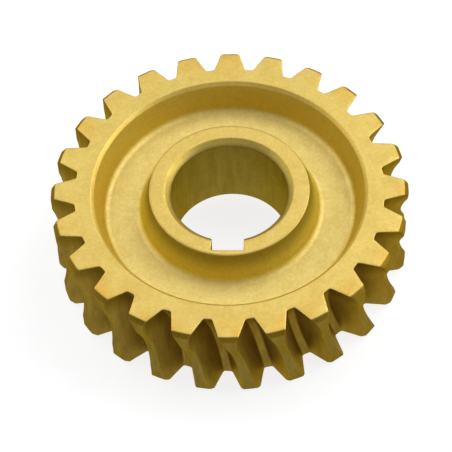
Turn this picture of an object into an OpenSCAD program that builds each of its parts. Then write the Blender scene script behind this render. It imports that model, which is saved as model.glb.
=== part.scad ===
// Brass worm wheel, one casting with 24 left-hand teeth on a throated rim,
// a web dished on both sides and a hub with a keyed bore.
// The bore axis is +Z, the lower face lies on Z = 0 and the keyway points to -Y.
// All sizes are in millimetres.

/* [Teeth] */
// Number of teeth
teeth = 24; // [22:1:28]
// Axial module of the worm, which spaces the teeth on the reference circle
axial_module = 2.5; // [2.2:0.02:2.7]
// Reference diameter of the worm that runs in the gaps
worm_d = 37; // [30:0.5:42]
// Lead angle of the worm, which slants the teeth
lead_angle = 11.5; // [6:0.5:16]
// Angle of the flanks to the middle of the gap
flank_angle = 27; // [24:0.5:28]
// Depth of the gaps under the reference circle, in modules
dedendum = 1.12; // [1:0.01:1.2]
// Height of the tooth tips in the throat over the reference circle, in modules
addendum = 1.035; // [0.9:0.005:1.2]
// Height of the lands beside the throat over the reference circle, in modules
land_height = 1.475; // [1.4:0.005:1.65]
// Radius of the throat that hollows the tooth tips
throat_radius = 11.75; // [10:0.25:16]
// Extra width of each gap over half the pitch, running clearance included
backlash = 0.44; // [0.1:0.01:0.6]
// Radius in the corners at the bottom of the gaps
root_radius = 0.5; // [0.3:0.05:0.6]
// Bevel on the tooth ends at both faces
tooth_bevel = 0.8; // [0.3:0.05:1.2]
// Angle from the keyway to the nearest tooth in the middle plane
tooth_offset = 4.5; // [0:0.1:15]

/* [Rim and web] */
// Width over the faces of rim and hub
face_width = 17.8; // [15:0.1:19]
// Flat ring between the bottoms of the gaps and the recess
rim_land = 3.05; // [2.6:0.05:4.5]
// Chamfer at the inner edge of the rim face
rim_chamfer = 0.6; // [0.2:0.05:1]
// Depth of the recess in each face
recess_depth = 5.9; // [4:0.1:6.2]
// Draft of the cast walls of the recess
draft = 18; // [8:0.5:22]
// Radius where the cast walls run into the web
web_fillet = 1.35; // [0.5:0.05:1.8]

/* [Hub and bore] */
// Bore for the shaft
bore_d = 22; // [20:0.1:23]
// Chamfer at both ends of the bore
bore_chamfer = 1.15; // [0.3:0.05:1.3]
// Wall of the hub at its faces
hub_wall = 4.1; // [3.6:0.05:5]
// Width of the keyway
key_w = 6; // [5:0.1:6.5]
// Depth of the keyway beyond the bore
key_t = 2.9; // [2:0.1:3]

/* [Hidden] */
$fn = 96;

brass = "#D9B44A";
over = 0.5;
// How far the cutter of a gap runs on past both faces
run_out = 1.5;

half_width = face_width / 2;
reference_r = axial_module * teeth / 2;
outside_r = reference_r + land_height * axial_module;
throat_r = reference_r + addendum * axial_module;

// The worm axis crosses the wheel at this distance; the gaps are as deep as the cutter circle
centre = reference_r + worm_d / 2;
cutter_r = worm_d / 2 + dedendum * axial_module;
cutter_depth = (dedendum + land_height) * axial_module + over;
cutter_reach = atan((half_width + run_out) / (centre - outside_r));
flank_slope = tan(flank_angle);
root_half = PI * axial_module / 4 + backlash / 2 - dedendum * axial_module * flank_slope;

root_at_face = centre - sqrt(pow(cutter_r, 2) - pow(half_width, 2));
rim_r = root_at_face - rim_land;
hub_r = bore_d / 2 + hub_wall;

// Points of a round corner about the point at
function arc(at, r, from, to, steps) = [
    for (i = [0 : steps]) let (a = from + (to - from) * i / steps) at + r * [cos(a), sin(a)]
];

// Section of a gap across its flanks: bottom at the cutter circle, round corners
module gap_section() {
    corner = root_half + root_radius * (flank_slope - 1 / cos(flank_angle));
    mouth = root_half + cutter_depth * flank_slope;
    side = concat(
        arc([cutter_r - root_radius, corner], root_radius, 0, 90 - flank_angle, 3),
        [[cutter_r - cutter_depth, mouth]]
    );
    polygon(concat(side, [for (i = [len(side) - 1 : -1 : 0]) [side[i][0], -side[i][1]]]));
}

// Gap swept round the worm axis, which leans by the lead angle
module gap() {
    translate([centre, 0, 0]) rotate([90 + lead_angle, 0, 0]) rotate(180 - cutter_reach)
        rotate_extrude(angle = 2 * cutter_reach) gap_section();
}

// Half of the section of the recess above the web, with round feet on both walls
module recess_section() {
    foot = half_width - recess_depth + web_fillet;
    slip = web_fillet * tan(45 - draft / 2);
    inner = hub_r + recess_depth * tan(draft) + slip;
    outer = rim_r - rim_chamfer - (recess_depth - rim_chamfer) * tan(draft) - slip;
    polygon(concat(
        arc([inner, foot], web_fillet, 180 + draft, 270, 6),
        arc([outer, foot], web_fillet, 270, 360 - draft, 6),
        [
            [rim_r - rim_chamfer, half_width - rim_chamfer],
            [rim_r, half_width],
            [rim_r, half_width + over],
            [hub_r, half_width + over],
            [hub_r, half_width]
        ]
    ));
}

// Section of the blank, from the axis to the lands of the teeth
module blank_section() {
    difference() {
        polygon([
            [0, -half_width],
            [outside_r - tooth_bevel, -half_width],
            [outside_r, tooth_bevel - half_width],
            [outside_r, half_width - tooth_bevel],
            [outside_r - tooth_bevel, half_width],
            [0, half_width]
        ]);
        translate([throat_r + throat_radius, 0]) circle(r = throat_radius);
        recess_section();
        mirror([0, 1]) recess_section();
    }
}

module bore() {
    cylinder(d = bore_d, h = face_width + 2 * over, center = true);
    for (side = [0, 1]) mirror([0, 0, side])
        translate([0, 0, half_width - bore_chamfer])
            cylinder(r1 = bore_d / 2, r2 = bore_d / 2 + bore_chamfer + over, h = bore_chamfer + over);
    translate([-key_w / 2, -bore_d / 2 - key_t, -half_width - over])
        cube([key_w, bore_d / 2 + key_t, face_width + 2 * over]);
}

module worm_wheel() {
    color(brass) translate([0, 0, half_width]) difference() {
        rotate_extrude() blank_section();
        bore();
        for (i = [0 : teeth - 1]) rotate((i + 0.5) * 360 / teeth + tooth_offset - 90) gap();
    }
}

worm_wheel();
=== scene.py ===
"""Looks of the brass worm wheel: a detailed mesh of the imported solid, its brass, the floor, the lamps and the camera."""

import math

import bpy
import numpy as np
from mathutils import Matrix, Vector

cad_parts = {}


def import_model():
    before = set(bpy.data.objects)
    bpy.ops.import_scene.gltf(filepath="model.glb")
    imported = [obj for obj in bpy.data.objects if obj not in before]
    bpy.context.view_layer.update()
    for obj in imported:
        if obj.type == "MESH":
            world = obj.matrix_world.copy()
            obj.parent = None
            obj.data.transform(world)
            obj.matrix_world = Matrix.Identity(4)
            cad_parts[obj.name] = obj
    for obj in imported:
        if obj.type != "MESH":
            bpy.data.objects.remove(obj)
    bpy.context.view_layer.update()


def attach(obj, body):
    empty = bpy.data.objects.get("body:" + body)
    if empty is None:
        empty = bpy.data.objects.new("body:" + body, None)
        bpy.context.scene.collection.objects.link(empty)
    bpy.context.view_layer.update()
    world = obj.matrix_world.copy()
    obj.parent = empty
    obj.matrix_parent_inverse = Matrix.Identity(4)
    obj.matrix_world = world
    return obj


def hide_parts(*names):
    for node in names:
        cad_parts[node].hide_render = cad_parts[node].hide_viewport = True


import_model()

# The wheel's sizes in millimetres; its middle plane is z = 0 until the mesh is made
TEETH, MODULE, WORM_D = 24, 2.5, 37.0
LEAD, FLANK = math.radians(11.5), math.radians(27)
DEDENDUM, ADDENDUM, LAND_HEIGHT = 1.12, 1.035, 1.475
THROAT_R, BACKLASH, ROOT_R, BEVEL = 11.75, 0.44, 0.5, 0.8
TOOTH_OFFSET = 4.5
WIDTH, RIM_LAND, RIM_CHAMFER = 17.8, 3.05, 0.6
RECESS, DRAFT, WEB_R = 5.9, math.radians(18), 1.35
BORE_R, BORE_CHAMFER, HUB_WALL = 11.0, 1.15, 4.1
KEY_W, KEY_T = 6.0, 2.9
HALF = WIDTH / 2
REF_R = MODULE * TEETH / 2
OUT_R = REF_R + LAND_HEIGHT * MODULE
TIP_R = REF_R + ADDENDUM * MODULE
CENTRE = REF_R + WORM_D / 2
CUT_R = WORM_D / 2 + DEDENDUM * MODULE
ROOT_HALF = math.pi * MODULE / 4 + BACKLASH / 2 - DEDENDUM * MODULE * math.tan(FLANK)
CORNER = ROOT_HALF + ROOT_R * (math.tan(FLANK) - 1 / math.cos(FLANK))
RIM_R = CENTRE - math.sqrt(CUT_R ** 2 - HALF ** 2) - RIM_LAND
HUB_R = BORE_R + HUB_WALL
PITCH = 2 * math.pi / TEETH
COLS, RING = 40, 240
EDGE, TIP_ROUND = 0.16, 0.24


def gap_xy(r, s, z):
    """Point at height z on the worm's thread that cuts a gap, r from the worm's axis, for a gap on +X."""
    along = WORM_D / 2 * math.tan(LEAD) * np.arcsin(z / r)
    return CENTRE - np.sqrt(r * r - z * z), -along - s / math.cos(LEAD)


def side_of_gap(z, blank_r, sign):
    """Root, round corner, flank and rounded tip edge on one side of a gap, from the middle outwards."""
    r, s = [CUT_R, CUT_R, CUT_R], [0, CORNER * 0.55, CORNER]
    for a in np.linspace(0, math.pi / 2 - FLANK, 5)[1:]:
        r.append(CUT_R - ROOT_R * (1 - math.cos(a)))
        s.append(CORNER + ROOT_R * math.sin(a))
    r0, s0 = r[-1], s[-1]

    def flank(t):
        return gap_xy(r0 - t * math.cos(FLANK), sign * (s0 + t * math.sin(FLANK)), z)

    low, high = 0.0, 9.0
    for _ in range(40):
        mid = (low + high) / 2
        low, high = (mid, high) if math.hypot(*flank(mid)) < blank_r else (low, mid)
    tip = low
    pts = [gap_xy(a, sign * b, z) for a, b in zip(r, s)]
    for t in np.linspace(0, tip - TIP_ROUND, 9)[1:]:
        pts.append(flank(t))
    corner = np.array(flank(tip))
    angle = math.atan2(corner[1], corner[0]) - sign * TIP_ROUND / blank_r
    after = np.array([blank_r * math.cos(angle), blank_r * math.sin(angle)])
    before = np.array(pts[-1])
    for t in (1 / 3, 2 / 3, 1):
        pts.append(tuple((1 - t) ** 2 * before + 2 * t * (1 - t) * corner + t * t * after))
    return np.array(pts)


def turned(p, a):
    c, s = math.cos(a), math.sin(a)
    return np.stack([c * p[:, 0] - s * p[:, 1], s * p[:, 0] + c * p[:, 1]], 1)


def tooth_row(z, blank_r, inset):
    """Closed outline of all teeth at height z."""
    first = side_of_gap(z, blank_r, -1)
    last = turned(side_of_gap(z, blank_r, 1), PITCH)[::-1]
    a0, a1 = (math.atan2(p[1], p[0]) for p in (first[-1], last[0]))
    top = np.array([[blank_r * math.cos(a), blank_r * math.sin(a)] for a in np.linspace(a0, a1, COLS - 2 * (len(first) - 1) + 1)[1:-1]])
    one = np.concatenate([first, top, last[:-1]])
    start = PITCH / 2 + math.radians(TOOTH_OFFSET - 90)
    p = np.concatenate([turned(one, start + i * PITCH) for i in range(TEETH)])
    if inset:
        along = np.roll(p, -1, 0) - np.roll(p, 1, 0)
        along /= np.linalg.norm(along, axis=1)[:, None]
        p = p + inset * np.stack([-along[:, 1], along[:, 0]], 1)
    return np.column_stack([p, np.full(len(p), z)])


def rounded(points, cuts, n=3):
    """Open polyline whose inner corners are rounded off over the distances in cuts."""
    out = [np.array(points[0], float)]
    for before, p, after, cut in zip(points, points[1:], points[2:], cuts):
        before, p, after = (np.array(q, float) for q in (before, p, after))
        a = p + (before - p) / np.linalg.norm(before - p) * cut
        b = p + (after - p) / np.linalg.norm(after - p) * cut
        out += [(1 - t) ** 2 * a + 2 * t * (1 - t) * p + t * t * b for t in np.linspace(0, 1, n + 1)]
    out.append(np.array(points[-1], float))
    return out


def levels():
    """Heights of the rows of the teeth with the blank's radius and the inset at the end edges."""
    up = [(HALF - EDGE * (1 - math.sin(q)), EDGE * (1 - math.cos(q))) for q in (math.pi / 2, math.pi / 3, math.pi / 6, 0)]
    rows = [(z, OUT_R - BEVEL + HALF - z, d) for z, d in up]
    zt = math.sqrt(THROAT_R ** 2 - (TIP_R + THROAT_R - OUT_R) ** 2)
    arc = [(TIP_R + THROAT_R - math.sqrt(THROAT_R ** 2 - z * z), z) for z in np.linspace(zt, 0, 9)]
    line = rounded([(OUT_R - BEVEL + 0.4, HALF - 0.4), (OUT_R, HALF - BEVEL), (OUT_R, zt), arc[1]], [0.2, 0.3])
    line.insert(5, np.array([OUT_R, (HALF - BEVEL + zt) / 2]))
    rows += [(q[1], q[0], 0) for q in line] + [(z, r, 0) for r, z in arc[2:-1]]
    return rows + [(0, TIP_R, 0)] + [(-z, r, d) for z, r, d in rows[::-1]]


class Mesh:
    """Rows of points joined by faces, each point marked with the surface that it belongs to."""

    def __init__(self):
        self.verts, self.faces = [], []
        self.marks = {name: [] for name in ("gap", "tip", "cast", "rim", "bore")}

    def add(self, pts, **marks):
        n = sum(len(v) for v in self.verts)
        self.verts.append(np.asarray(pts, float))
        for name, rows in self.marks.items():
            rows.append(np.broadcast_to(np.asarray(marks.get(name, 0.0), float), len(pts)))
        return np.arange(n, n + len(pts))

    def strip(self, a, b):
        """Quads between two closed rows of the same length."""
        n = len(a)
        for i in range(n):
            j = (i + 1) % n
            self.faces.append((a[i], b[i], b[j], a[j]))

    def thin(self, a, b):
        """Joins a row to one with a quarter of its points."""
        n = len(b)
        for i in range(n):
            o = [a[(4 * i + k) % len(a)] for k in range(5)]
            p, q = b[i], b[(i + 1) % n]
            self.faces += [(p, o[1], o[0]), (p, o[2], o[1]), (p, q, o[2]), (q, o[3], o[2]), (q, o[4], o[3])]


def tooth_marks():
    """How far each point of a tooth row is in a gap or on a tip."""
    gap = np.zeros(COLS)
    gap[:15], gap[15:17] = 1, (0.67, 0.33)
    gap[-14:], gap[-16:-14] = 1, (0.33, 0.67)
    rows = []
    for z, r, inset in levels():
        depth = HALF - abs(z)
        skin = min(1, depth / EDGE)
        rows.append({"gap": np.tile(gap * skin, TEETH), "tip": np.tile((1 - gap) * skin, TEETH)})
    return rows


def circle(r, z, start, n=RING):
    a = start + np.arange(n) * 2 * math.pi / n
    return np.column_stack([r * np.cos(a), r * np.sin(a), np.full(n, z)])


def bore_row(z, r, inset):
    """Closed outline of the bore with its keyway at height z, from the middle of the keyway's bottom."""
    half, deep, soft = KEY_W / 2, BORE_R + KEY_T, 0.25
    pts = [(x, -deep) for x in np.linspace(0, half - soft, 6)]
    pts += [(half - soft * (1 - math.sin(a)), -deep + soft * (1 - math.cos(a))) for a in (math.pi / 4, math.pi / 2)]
    mouth = -math.sqrt(r * r - half * half)
    pts += [(half, y) for y in np.linspace(-deep + soft, mouth - 0.14, 4)[1:]]
    angle = math.atan2(mouth, half) + 0.14 / r
    after = np.array([r * math.cos(angle), r * math.sin(angle)])
    before, corner = np.array(pts[-1]), np.array([half, mouth])
    pts += [tuple((1 - t) ** 2 * before + 2 * t * (1 - t) * corner + t * t * after) for t in (0.5, 1)]
    n = RING // 2 - (len(pts) - 1)
    pts += [(r * math.cos(a), r * math.sin(a)) for a in np.linspace(angle, math.pi / 2, n + 1)[1:]]
    pts = np.array(pts)
    p = np.concatenate([pts, (pts * [-1, 1])[-2:0:-1]])
    if inset:
        along = np.roll(p, -1, 0) - np.roll(p, 1, 0)
        along /= np.linalg.norm(along, axis=1)[:, None]
        p = p - inset * np.stack([-along[:, 1], along[:, 0]], 1)
    return np.column_stack([p, np.full(len(p), z)])


def bore_levels():
    top = [(HALF - 0.12 * (1 - math.sin(q)), 0.12 * (1 - math.cos(q))) for q in (math.pi / 2, math.pi / 4, 0)]
    rows = [(z, BORE_R + BORE_CHAMFER - (HALF - z), d) for z, d in top]
    low = HALF - BORE_CHAMFER
    rows += [(low + 0.5, BORE_R + 0.5, 0), (low + 0.12, BORE_R + 0.12, 0), (low, BORE_R + 0.03, 0), (low - 0.15, BORE_R, 0)]
    rows += [(z, BORE_R, 0) for z in (4.5, 1.5)]
    return rows + [(-z, r, d) for z, r, d in rows[::-1]]


def build():
    m = Mesh()
    rows = [m.add(tooth_row(*lv), **mk) for lv, mk in zip(levels(), tooth_marks())]
    for a, b in zip(rows, rows[1:]):
        m.strip(a, b)
    foot = HALF - RECESS
    slip = WEB_R * math.tan(math.pi / 4 - DRAFT / 2)
    inner = HUB_R + RECESS * math.tan(DRAFT) + slip
    outer = RIM_R - RIM_CHAMFER - (RECESS - RIM_CHAMFER) * math.tan(DRAFT) - slip
    arc = lambda r, a, b: [(r + WEB_R * math.cos(t), foot + WEB_R * (1 + math.sin(t))) for t in np.linspace(a, b, 8)]
    wall = rounded([(RIM_R + 1.2, HALF), (RIM_R, HALF), (RIM_R - RIM_CHAMFER, HALF - RIM_CHAMFER), arc(outer, -DRAFT, 0)[0]], [0.16, 0.16])
    wall.insert(-1, (wall[-1] + wall[-2]) / 2)
    wall += arc(outer, -DRAFT, -math.pi / 2)[1:]
    wall_marks = [{"rim": 0.25 if 2 < i < 7 else 0, "cast": min(1, max(0, i - 6) / 2)} for i in range(len(wall))]
    hub = arc(inner, -math.pi / 2, -math.pi + DRAFT)
    rise = rounded([hub[-1], (HUB_R, HALF), (HUB_R - 0.45, HALF)], [0.2])
    rise.insert(1, (rise[0] + rise[1]) / 2)
    hub += rise[1:]
    # The hub's top rounding carries the rim mark, which paints a dark shade line there.
    hub_marks = [{"rim": 0.25 if 1 < len(hub) - i < 5 else 0, "cast": 1.0 if i < len(hub) - 4 else 0} for i in range(len(hub))]
    bores = [m.add(bore_row(*lv), bore=min(1, max(0, HALF - abs(lv[0]) - 0.9) / 0.2)) for lv in bore_levels()]
    for a, b in zip(bores, bores[1:]):
        m.strip(b, a)
    for side, edge, bore in ((1, rows[0], bores[0]), (-1, rows[-1], bores[-1])):
        z = side * HALF
        pts = np.concatenate(m.verts)[edge]
        gap = np.array(gap_xy(CUT_R, 0, z))
        start = math.atan2(gap[1], gap[0]) + PITCH / 2 + math.radians(TOOTH_OFFSET - 90)
        ring = circle(RIM_R + 2.3, z, start, TEETH * COLS)
        made = [edge]
        for t in (0.35, 0.7, 1):
            a0, r0 = np.unwrap(np.arctan2(pts[:, 1], pts[:, 0])), np.hypot(pts[:, 0], pts[:, 1])
            a1, r1 = np.unwrap(np.arctan2(ring[:, 1], ring[:, 0])), np.hypot(ring[:, 0], ring[:, 1])
            a1 = a1 + 2 * math.pi * np.round((a0[0] - a1[0]) / (2 * math.pi))
            a, r = a0 + t * (a1 - a0), r0 + t * (r1 - r0)
            made.append(m.add(np.column_stack([r * np.cos(a), r * np.sin(a), np.full(len(a), z)])))
        chain = [m.add(circle(r, side * h, start), **mk) for (r, h), mk in zip(wall, wall_marks)]
        step = 2 * math.pi / RING
        shift = round((-math.pi / 2 - start) / step)
        chain2 = [m.add(circle(r, side * h, -math.pi / 2), **mk) for (r, h), mk in zip(hub, hub_marks)]
        face = np.concatenate(m.verts)
        last, b = face[chain2[-1]], face[bore]
        inner_rows = [m.add(last + t * (b - last)) for t in (0.33, 0.67)]
        at = len(m.faces)
        for a, c in zip(made[1:], made):
            m.strip(c, a)
        m.thin(made[-1], chain[0])
        for a, c in zip(chain, chain[1:]):
            m.strip(a, c)
        m.strip(np.roll(chain[-1], -shift), chain2[0])
        for a, c in zip(chain2, chain2[1:]):
            m.strip(a, c)
        for a, c in zip([chain2[-1], *inner_rows], [*inner_rows, bore]):
            m.strip(a, c)
        m.faces[at:] = [f[::-1] if side > 0 else f for f in m.faces[at:]]
    return np.concatenate(m.verts), m.faces, {name: np.concatenate(rows) for name, rows in m.marks.items()}

verts, faces, marks = build()
data = bpy.data.meshes.new("worm_wheel_visual")
data.from_pydata(((verts + [0, 0, HALF]) * 0.001).tolist(), [], [tuple(int(i) for i in f) for f in faces])
data.polygons.foreach_set("use_smooth", [True] * len(data.polygons))
for name, values in marks.items():
    data.attributes.new(name, "FLOAT", "POINT").data.foreach_set("value", values.astype(np.float32))
data.update()
wheel = bpy.data.objects.new("worm_wheel_visual", data)
bpy.context.scene.collection.objects.link(wheel)
weighted = wheel.modifiers.new("flat_faces", "WEIGHTED_NORMAL")
weighted.mode, weighted.weight, weighted.keep_sharp = "FACE_AREA", 60, False


class Nodes:
    """Short calls for building one material."""

    def __init__(self, name):
        self.material = bpy.data.materials.new(name)
        self.material.use_nodes = True
        self.tree = self.material.node_tree
        self.tree.nodes.clear()

    def add(self, kind, inputs=None, **settings):
        node = self.tree.nodes.new("ShaderNode" + kind)
        for key, value in settings.items():
            setattr(node, key, value)
        for key, value in (inputs or {}).items():
            socket = node.inputs[key]
            if isinstance(value, bpy.types.NodeSocket):
                self.tree.links.new(value, socket)
            else:
                socket.default_value = value
        return node

    def math(self, operation, a, b=0.0, clamp=False):
        return self.add("Math", {0: a, 1: b}, operation=operation, use_clamp=clamp).outputs[0]

    def mark(self, name):
        return self.add("Attribute", attribute_name=name).outputs["Fac"]

    def noise(self, where, scale, detail=3.0, rough=0.55, stretch=None):
        if stretch:
            where = self.add("Mapping", {"Vector": where, "Scale": stretch}).outputs[0]
        return self.add("TexNoise", {"Vector": where, "Scale": scale, "Detail": detail, "Roughness": rough}).outputs["Fac"]

    def ramp(self, fac, low, high, to_low=0.0, to_high=1.0):
        return self.add("MapRange", {0: fac, 1: low, 2: high, 3: to_low, 4: to_high}, interpolation_type="SMOOTHSTEP").outputs[0]

    def mix(self, fac, a, b, blend="MIX"):
        node = self.add("Mix", data_type="RGBA", blend_type=blend)
        for key, value in ((0, fac), (6, a), (7, b)):
            if isinstance(value, bpy.types.NodeSocket):
                self.tree.links.new(value, node.inputs[key])
            else:
                node.inputs[key].default_value = value
        return node.outputs[2]


def rgb(r, g, b):
    """An sRGB colour of 0 to 255 as a linear one."""
    return tuple((c / 255 / 12.92 if c <= 10 else ((c / 255 + 0.055) / 1.055) ** 2.4) for c in (r, g, b)) + (1.0,)


HALF_M, BORE_R_M = HALF * 0.001, BORE_R * 0.001


def brass():
    n = Nodes("worm_wheel_brass")
    at = n.add("TexCoord").outputs["Object"]
    across = n.add("VectorMath", {0: at, 1: (1.0, 1.0, 0.0)}, operation="MULTIPLY").outputs[0]
    radius = n.add("VectorMath", {0: across}, operation="LENGTH").outputs["Value"]

    gap, tip, cast, rim, bore = (n.mark(m) for m in ("gap", "tip", "cast", "rim", "bore"))
    up = n.add("SeparateXYZ", {0: n.add("NewGeometry").outputs["True Normal"]}).outputs[2]
    height = n.add("SeparateXYZ", {0: at}).outputs[2]
    broad = n.noise(at, 90, 3)
    patch = n.noise(at, 420, 4)
    fine = n.noise(at, 1500, 3)
    grain = n.noise(at, 5200, 2)
    streak = n.noise(at, 900, 3, stretch=(1.0, 1.0, 0.12))

    # Painted shade: steep surfaces of the recess and hub take the darker wall colours in place of the web's.
    steep_shaded = n.ramp(n.math("ABSOLUTE", up), 0.95, 0.55)
    tone = n.ramp(patch, 0.3, 0.72)
    face = n.mix(tone, rgb(228, 203, 116), rgb(223, 196, 107))
    near_tip = n.math("MULTIPLY", n.ramp(radius, 0.0280, 0.0330), n.ramp(broad, 0.42, 0.62))
    face = n.mix(n.math("MULTIPLY", near_tip, 0.65), face, rgb(228, 180, 78))
    # Painted light: the web is written paler than the face to offset the shade it gets inside the recess.
    web_painted_lighter = n.mix(tone, rgb(242, 223, 145), rgb(238, 218, 137))
    level = n.math("ABSOLUTE", n.math("SUBTRACT", height, HALF_M))
    # Painted shade: the hub wall darkens towards its end face and is paler at its foot.
    hub = n.mix(n.ramp(level, HALF_M - 0.0045, HALF_M - 0.0002), rgb(230, 212, 98), rgb(170, 153, 54))
    # Painted shade: the rim walls are written darker and more orange than the web.
    wall = n.mix(n.ramp(radius, 0.019, 0.021), hub, rgb(217, 193, 88))
    base = n.mix(cast, face, n.mix(steep_shaded, web_painted_lighter, wall))
    streaks = n.ramp(streak, 0.32, 0.68)
    # Painted shade: gap flanks and tip lands are written in a much darker brass than the faces, standing in for the
    # shade in the tooth gaps.
    flank = n.mix(streaks, rgb(163, 138, 60), rgb(149, 123, 51))
    # Painted shade: the gap flanks darken towards the upper face.
    flank = n.mix(n.ramp(height, 0.0125, 0.0172, 0.0, 0.6), flank, rgb(100, 80, 22))
    land_shaded = n.mix(streaks, rgb(140, 121, 57), rgb(131, 112, 50))
    base = n.mix(n.math("ADD", gap, tip, True), base, n.mix(tip, flank, land_shaded))
    # Painted shade: a dark band on the tips just inside each end face's edge.
    end = n.ramp(level, HALF_M - 0.0009, HALF_M - 0.0007)
    base = n.mix(n.math("MULTIPLY", tip, end), base, rgb(140, 112, 32))
    inside = n.ramp(radius, BORE_R_M + 0.0013, BORE_R_M + 0.0011)
    base = n.mix(inside, base, rgb(212, 187, 96))
    # Painted shade: the bore wall is written in a darker brass, standing in for the shade inside the bore.
    base = n.mix(bore, base, n.mix(streaks, rgb(162, 143, 64), rgb(152, 132, 56)))
    # Painted shade: a dark line along the hub's top edge; the rim's chamfer is tinted a warmer yellow.
    edge = n.mix(n.ramp(radius, 0.019, 0.021), rgb(160, 126, 44), rgb(250, 216, 88))
    base = n.mix(rim, base, edge)
    base = n.mix(n.ramp(fine, 0.3, 0.7, 0.0, 0.09), base, rgb(120, 92, 36), "MULTIPLY")
    base = n.mix(n.ramp(grain, 0.35, 0.65, 0.0, 0.12), base, rgb(150, 120, 60), "MULTIPLY")

    rough = n.math("ADD", n.ramp(patch, 0.3, 0.7, 0.52, 0.58), n.math("MULTIPLY", cast, 0.1))

    rings = n.add("CombineXYZ", {0: radius, 1: n.math("MULTIPLY", broad, 0.0004)}).outputs[0]
    turning = n.noise(rings, 4200, 2)
    machined = n.math("SUBTRACT", 1.0, n.math("MAXIMUM", n.math("MAXIMUM", cast, gap), tip), True)
    relief = n.math("ADD", n.math("MULTIPLY", grain, 0.5), n.math("MULTIPLY", fine, 0.45))
    relief = n.math("ADD", relief, n.math("MULTIPLY", n.math("MULTIPLY", turning, machined), 0.35))
    relief = n.math("ADD", relief, n.math("MULTIPLY", n.math("MULTIPLY", patch, cast), 0.5))
    relief = n.math("ADD", relief, n.math("MULTIPLY", n.math("MULTIPLY", streak, gap), 0.9))
    bump = n.add("Bump", {"Strength": 0.35, "Distance": 0.00006, "Height": relief})

    shader = n.add("BsdfPrincipled", {"Base Color": base, "Metallic": 1.0, "Specular Tint": rgb(235, 210, 140), "Roughness": rough, "Normal": bump.outputs[0]})
    n.add("OutputMaterial", {"Surface": shader.outputs[0]})
    return n.material


data.materials.append(brass())
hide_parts("worm_wheel")
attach(wheel, "root")


def floor():
    """White paper: seen directly or in the metal it glows a little, so that it is white and its shadow faint."""
    n = Nodes("floor_white")
    at = n.add("TexCoord").outputs["Object"]
    path = n.add("LightPath")
    seen = n.math("MAXIMUM", path.outputs["Is Camera Ray"], path.outputs["Is Glossy Ray"])
    seen = n.math("MAXIMUM", seen, path.outputs["Is Transmission Ray"])
    fibre = n.ramp(n.noise(at, 40, 3), 0.3, 0.7)
    paper = n.mix(fibre, (0.94, 0.94, 0.94, 1), (0.96, 0.96, 0.96, 1))
    lit = n.add("BsdfDiffuse", {"Color": n.mix(seen, paper, n.mix(fibre, (0.26, 0.26, 0.26, 1), (0.28, 0.28, 0.28, 1)))})
    glow = n.add("Emission", {"Color": (1, 1, 1, 1), "Strength": n.math("MULTIPLY", seen, 0.82)})
    shader = n.add("AddShader", {0: lit.outputs[0], 1: glow.outputs[0]})
    n.add("OutputMaterial", {"Surface": shader.outputs[0]})
    plane = bpy.data.meshes.new("floor")
    plane.from_pydata([(x, y, 0) for x, y in ((-20, -20), (20, -20), (20, 20), (-20, 20))], [], [(0, 1, 2, 3)])
    plane.materials.append(n.material)
    obj = bpy.data.objects.new("floor", plane)
    bpy.context.scene.collection.objects.link(obj)


def world():
    """A dim room with a pale wall along the horizon."""
    sky = bpy.data.worlds.new("studio")
    bpy.context.scene.world = sky
    sky.use_nodes = True
    tree = sky.node_tree
    tree.nodes.clear()
    way = tree.nodes.new("ShaderNodeTexCoord")
    parts = tree.nodes.new("ShaderNodeSeparateXYZ")
    tree.links.new(way.outputs["Generated"], parts.inputs[0])
    strength = tree.nodes.new("ShaderNodeMapRange")
    strength.interpolation_type = "SMOOTHSTEP"
    tree.links.new(parts.outputs["Z"], strength.inputs[0])
    for socket, value in zip(strength.inputs[1:5], (0.1, 0.3, 1.0, 0.12)):
        socket.default_value = value
    back = tree.nodes.new("ShaderNodeBackground")
    back.inputs["Color"].default_value = (1, 1, 1, 1)
    tree.links.new(strength.outputs[0], back.inputs["Strength"])
    out = tree.nodes.new("ShaderNodeOutputWorld")
    tree.links.new(back.outputs[0], out.inputs[0])


def lamp(name, at, aim, size, power):
    light = bpy.data.lights.new(name, "AREA")
    light.shape, light.size, light.energy = "DISK", size, power
    obj = bpy.data.objects.new(name, light)
    obj.location = at
    obj.rotation_euler = (Vector(aim) - Vector(at)).to_track_quat("-Z", "Y").to_euler()
    bpy.context.scene.collection.objects.link(obj)


def camera():
    """The photograph's viewpoint: a fit in units of the tip radius at the upper face, turned from the keyway's side."""
    unit, tilt, roll = 0.03292, 0.95392, -0.05154
    shift_x, shift_y, distance, focal = 0.01821, 0.21099, 11.6716, 2045.71
    forward = Vector((0, math.cos(tilt), -math.sin(tilt)))
    up0 = Vector((0, math.sin(tilt), math.cos(tilt)))
    right = math.cos(roll) * Vector((1, 0, 0)) + math.sin(roll) * up0
    up = -math.sin(roll) * Vector((1, 0, 0)) + math.cos(roll) * up0
    place = (-shift_x * right - shift_y * up - distance * forward) * unit
    turn = Matrix.Rotation(math.radians(4.0), 4, "Z")
    pose = Matrix((right, up, -forward)).transposed().to_4x4()
    pose.translation = place
    pose = Matrix.Translation((0, 0, WIDTH * 0.001)) @ turn @ pose
    lens = bpy.data.cameras.new("camera")
    lens.sensor_width, lens.sensor_fit, lens.lens = 36, "HORIZONTAL", focal * 36 / 452
    lens.clip_start, lens.clip_end = 0.01, 20
    obj = bpy.data.objects.new("camera", lens)
    obj.matrix_world = pose
    bpy.context.scene.collection.objects.link(obj)
    bpy.context.scene.camera = obj


floor()
world()
camera()
lamp("lamp_back_right", (0.5, 0.5, 0.8), (0, 0, 0.01), 0.8, 6.0)
lamp("lamp_back_left", (-0.5, 0.5, 0.8), (0, 0, 0.01), 0.8, 3.9)
lamp("lamp_right", (0.9, 0.05, 0.5), (0, 0, 0.01), 0.6, 3.5)
lamp("lamp_left", (-0.9, 0.05, 0.5), (0, 0, 0.01), 0.6, 1.45)
lamp("lamp_front", (0.0, -0.85, 0.6), (0, 0, 0.01), 0.7, 1.0)
bpy.context.scene.view_settings.view_transform = "Standard"
